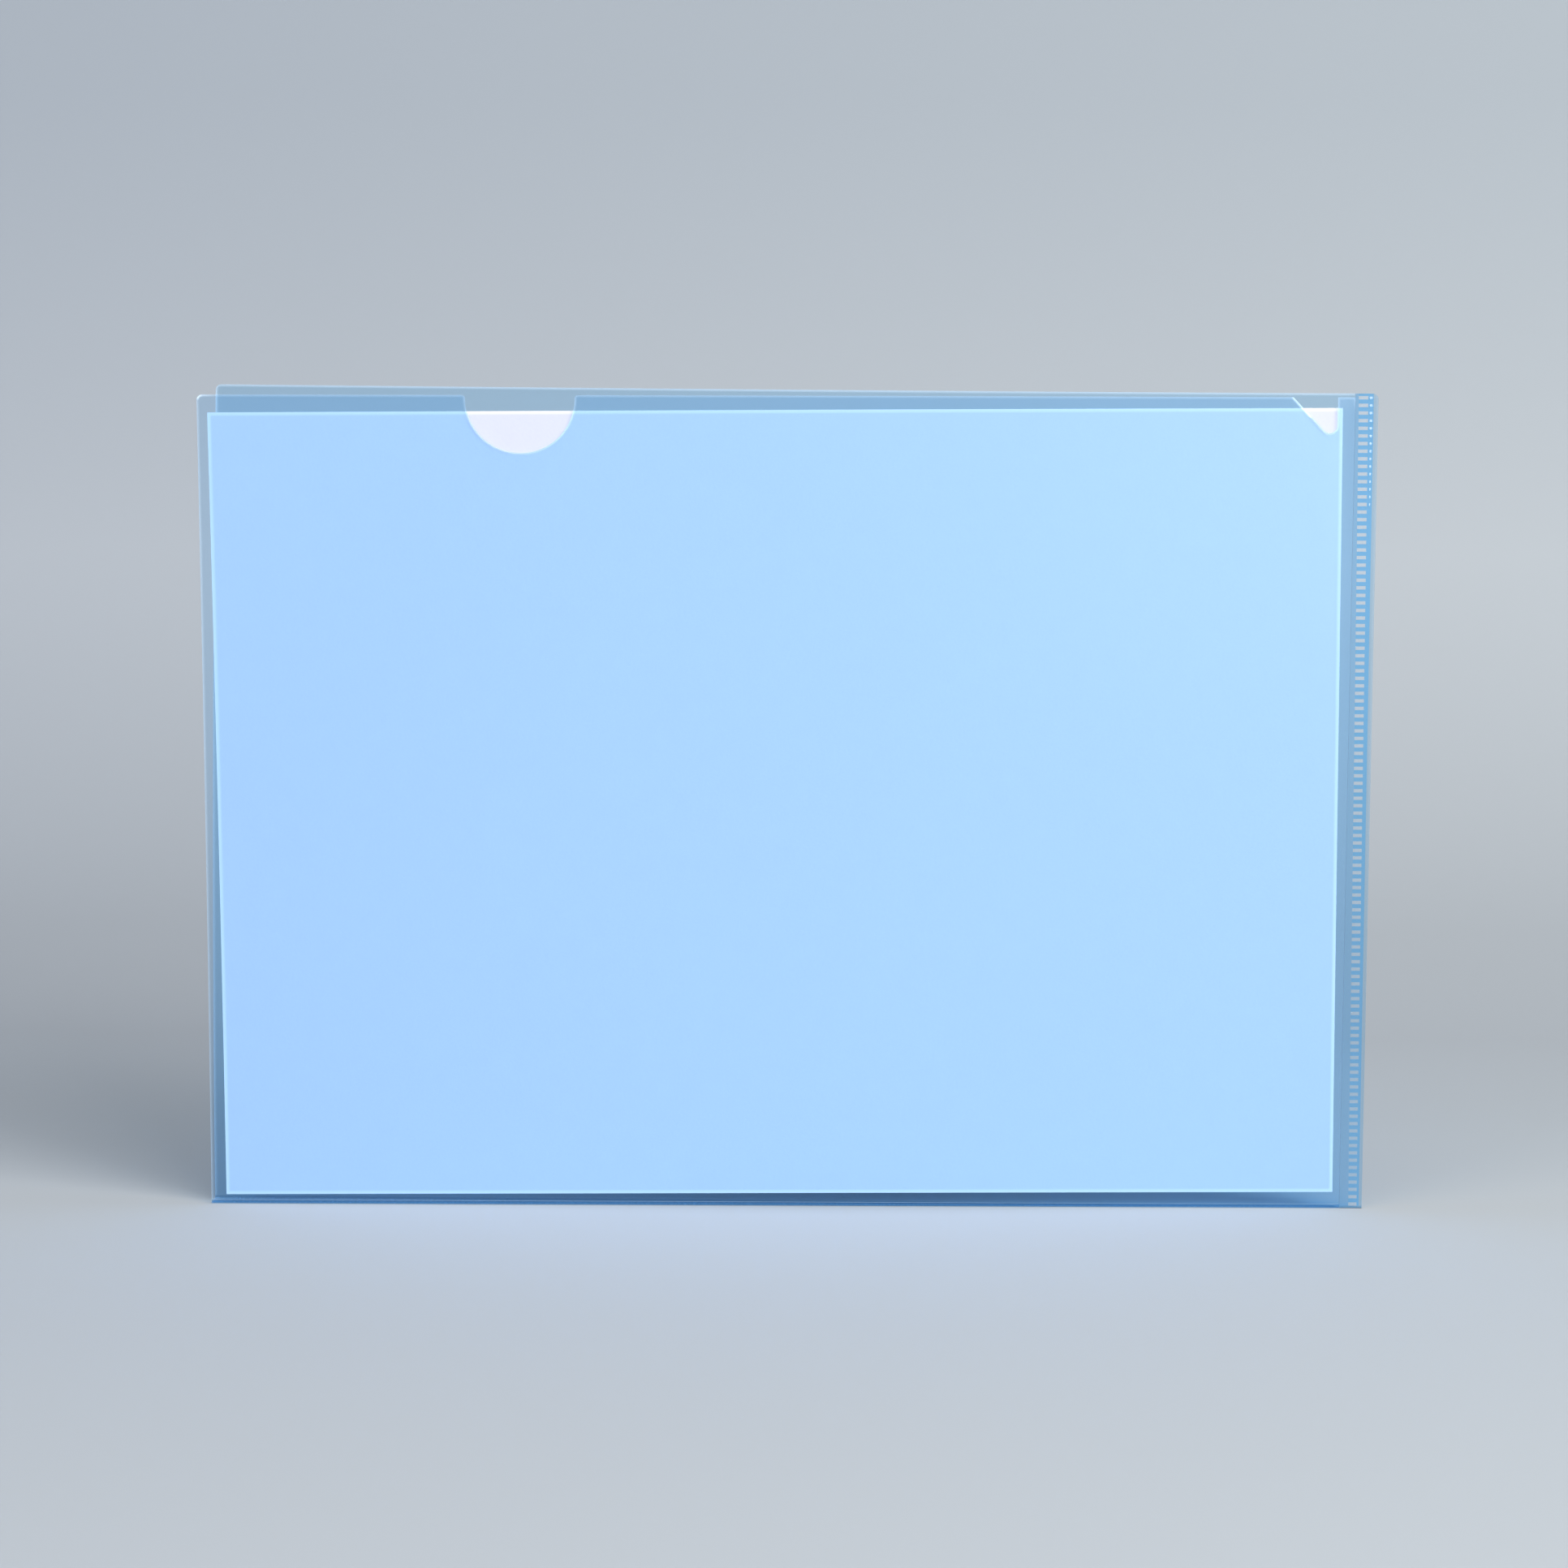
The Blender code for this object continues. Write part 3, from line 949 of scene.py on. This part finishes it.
studio = {
    "sweepStages": (  # how far back, and the colour there; the darker stage at 0.24 m is painted shadow behind the folder
        (0.09, (0.524, 0.561, 0.598)),
        (0.24, (0.477, 0.509, 0.548)),
        (0.90, (0.611, 0.655, 0.705)),
        (1.20, (0.520, 0.572, 0.630)),
    ),
    # painted shade on the sweep's left and painted light on its right, as the key light falls from the
    # right
    "leftPaintedShade": (0.970, 0.972, 0.985),
    "rightPaintedLight": (1.040, 1.035, 1.010),
    "paintedSideReach": (-0.4, 0.4),  # from the painted shade at the left to the painted light at the right
    "sweepFront": -3.0,
    "sweepBack": 1.5,
    "sweepRadius": 1.05,
    "sweepTop": 3.0,
    "sweepHalfWidth": 4.0,
    "sweepSteps": 24,
    "paintedSweepShades": (  # painted shade: darker under the key light, out of the camera's sight, and a painted shadow behind the middle of the sheet
        {"centre": (1.65, -1.4, 0.0), "reach": (1.75, 1.75, 1.75), "core": 0.314, "level": 0.42},
        {"centre": (0.007, 0.020, 0.0), "reach": (0.15, 0.035, 1.0), "core": 0.0, "level": 0.55},
    ),
    "worldColour": (0.95, 0.97, 1.0),
    "worldStrength": 0.15,
    "worldSeen": (0.47, 0.50, 0.54),
    "keyPower": 78.5,
    "keyPlace": (2.12, -1.78, 1.8),
    "fillPower": 21.5,
    "fillPlace": (-2.12, -1.78, 1.8),
    "topPower": 18.0,
    "topPlace": (0.0, -0.9, 2.7),
    "boxSize": 1.8,
    "boxAim": (0.0, 0.0, 0.1),
    "frontPower": 3.9,
    "frontPlace": (0.45, -1.25, 0.58),
    "sheenPower": 4.0,
    "sheenPlace": (0.45, -1.3, 0.3),
    "smallBoxSize": 0.35,
    "backPower": 9.0,
    "backPlace": (-0.7, 1.05, 0.95),
    "backBoxSize": 0.9,
    "lens": 103.7,
    "sensorWidth": 36.0,
    "aim": (-0.0011, 0.0, 0.1141),
    "distance": 1.2,
    "azimuth": -0.72,
    "pitch": 7.65,
    "roll": 0.21,
}


# A painted shade on the sweep has its full level within its core, a share of its reach, and ends at its
# reach.
def paintedSweepShade(tree, place, shade):
    local = addNode(
        tree,
        "ShaderNodeMapping",
        {"Vector": place, "Location": shade["centre"], "Scale": shade["reach"]},
        vector_type="TEXTURE",
    )
    away = addNode(tree, "ShaderNodeVectorMath", {0: local.outputs["Vector"]}, operation="LENGTH")
    level = addNode(
        tree,
        "ShaderNodeMapRange",
        {"Value": away.outputs["Value"], 1: shade["core"], 2: 1.0, 3: shade["level"], 4: 1.0},
        interpolation_type="SMOOTHSTEP",
    )
    return level.outputs["Result"]


def sweepMaterial():
    material, tree = newTree("sweepPaper")
    place = addNode(tree, "ShaderNodeTexCoord").outputs["Object"]
    spot = addNode(tree, "ShaderNodeSeparateXYZ", {0: place})
    depth = remap(tree, spot.outputs["Y"], (0, studio["sweepBack"]), (0, 1))
    ramp = addNode(tree, "ShaderNodeValToRGB", {"Fac": depth})
    stages = studio["sweepStages"]
    for far, _ in stages[1:-1]:
        ramp.color_ramp.elements.new(far / studio["sweepBack"])
    for element, (far, colour) in zip(ramp.color_ramp.elements, stages):
        element.position = far / studio["sweepBack"]
        element.color = colour + (1,)
    # painted shade to the left, painted light to the right
    across = remap(tree, spot.outputs["X"], studio["paintedSideReach"], (0, 1))
    side = mixColours(tree, across, studio["leftPaintedShade"] + (1,), studio["rightPaintedLight"] + (1,))
    tone = addNode(tree, "ShaderNodeVectorMath", {0: ramp.outputs["Color"], 1: side}, operation="MULTIPLY")
    for shade in studio["paintedSweepShades"]:
        level = paintedSweepShade(tree, place, shade)
        tone = addNode(
            tree, "ShaderNodeVectorMath", {0: tone.outputs["Vector"], "Scale": level}, operation="SCALE"
        )
    surface = addNode(
        tree,
        "ShaderNodeBsdfPrincipled",
        {"Base Color": tone.outputs["Vector"], "Roughness": 1.0, "Specular IOR Level": 0.0},
    )
    addNode(tree, "ShaderNodeOutputMaterial", {"Surface": surface.outputs[0]})
    return material


def makeSweep():
    radius = studio["sweepRadius"]
    back = studio["sweepBack"]
    bend = arc((back - radius, radius), radius, -90, 0, studio["sweepSteps"])
    profile = [Vector((studio["sweepFront"], 0))] + bend + [Vector((back, studio["sweepTop"]))]
    bm = bmesh.new()
    rows = [
        [bm.verts.new((x, p.x, p.y)) for p in profile]
        for x in (-studio["sweepHalfWidth"], studio["sweepHalfWidth"])
    ]
    for i in range(len(profile) - 1):
        bm.faces.new((rows[0][i], rows[1][i], rows[1][i + 1], rows[0][i + 1])).smooth = True
    mesh = bpy.data.meshes.new("sweep")
    bm.to_mesh(mesh)
    bm.free()
    mesh.materials.append(sweepMaterial())
    sweep = bpy.data.objects.new("sweep", mesh)
    scene.collection.objects.link(sweep)


def softBox(name, place, size, power):
    lamp = bpy.data.lights.new(name, "AREA")
    lamp.shape = "SQUARE"
    lamp.size = size
    lamp.energy = power
    box = bpy.data.objects.new(name, lamp)
    box.location = place
    box.rotation_euler = (Vector(studio["boxAim"]) - Vector(place)).to_track_quat("-Z", "Y").to_euler()
    box.visible_camera = False
    scene.collection.objects.link(box)
    return box


makeSweep()
softBox("keyBox", studio["keyPlace"], studio["boxSize"], studio["keyPower"])
softBox("fillBox", studio["fillPlace"], studio["boxSize"], studio["fillPower"])
softBox("topBox", studio["topPlace"], studio["boxSize"], studio["topPower"])
softBox("frontBox", studio["frontPlace"], studio["smallBoxSize"], studio["frontPower"])
sheenBox = softBox("sheenBox", studio["sheenPlace"], studio["smallBoxSize"], studio["sheenPower"])
sheenBox.visible_diffuse = False  # only seen as a soft gleam on the film's upper right
backBox = softBox("backBox", studio["backPlace"], studio["backBoxSize"], studio["backPower"])
backLit = bpy.data.collections.new("backLit")  # it lights the folder alone, not the sweep
for piece in (frontFilm, backFilm, weldBand, weldRibs, weldBeads, paperSheet):
    backLit.objects.link(piece)
backBox.light_linking.receiver_collection = backLit


# Dim air lights the scene; where it is looked at, it is as pale as the sweep.
def makeWorld():
    scene.world = bpy.data.worlds.new("studioAir")
    scene.world.use_nodes = True
    tree = scene.world.node_tree
    tree.nodes.clear()
    rays = tree.nodes.new("ShaderNodeLightPath").outputs
    seen = rays["Is Camera Ray"]
    for other in ("Is Glossy Ray", "Is Transmission Ray"):
        seen = addNode(tree, "ShaderNodeMath", {0: seen, 1: rays[other]}, operation="MAXIMUM").outputs[0]
    light = addNode(
        tree,
        "ShaderNodeBackground",
        {"Color": studio["worldColour"] + (1,), "Strength": studio["worldStrength"]},
    )
    pale = addNode(tree, "ShaderNodeBackground", {"Color": studio["worldSeen"] + (1,)})
    mixed = addNode(tree, "ShaderNodeMixShader", {0: seen, 1: light.outputs[0], 2: pale.outputs[0]})
    addNode(tree, "ShaderNodeOutputWorld", {"Surface": mixed.outputs[0]})


makeWorld()

azimuth, pitch, roll = (math.radians(studio[key]) for key in ("azimuth", "pitch", "roll"))
lens = bpy.data.cameras.new("camera")
lens.lens = studio["lens"]
lens.sensor_width = studio["sensorWidth"]
camera = bpy.data.objects.new("camera", lens)
turned = Euler((math.pi / 2 - pitch, 0, -azimuth)).to_matrix() @ Euler((0, 0, roll)).to_matrix()
camera.rotation_euler = turned.to_euler()
camera.location = Vector(studio["aim"]) + studio["distance"] * turned.col[2]
scene.collection.objects.link(camera)
scene.camera = camera
print("studio set")
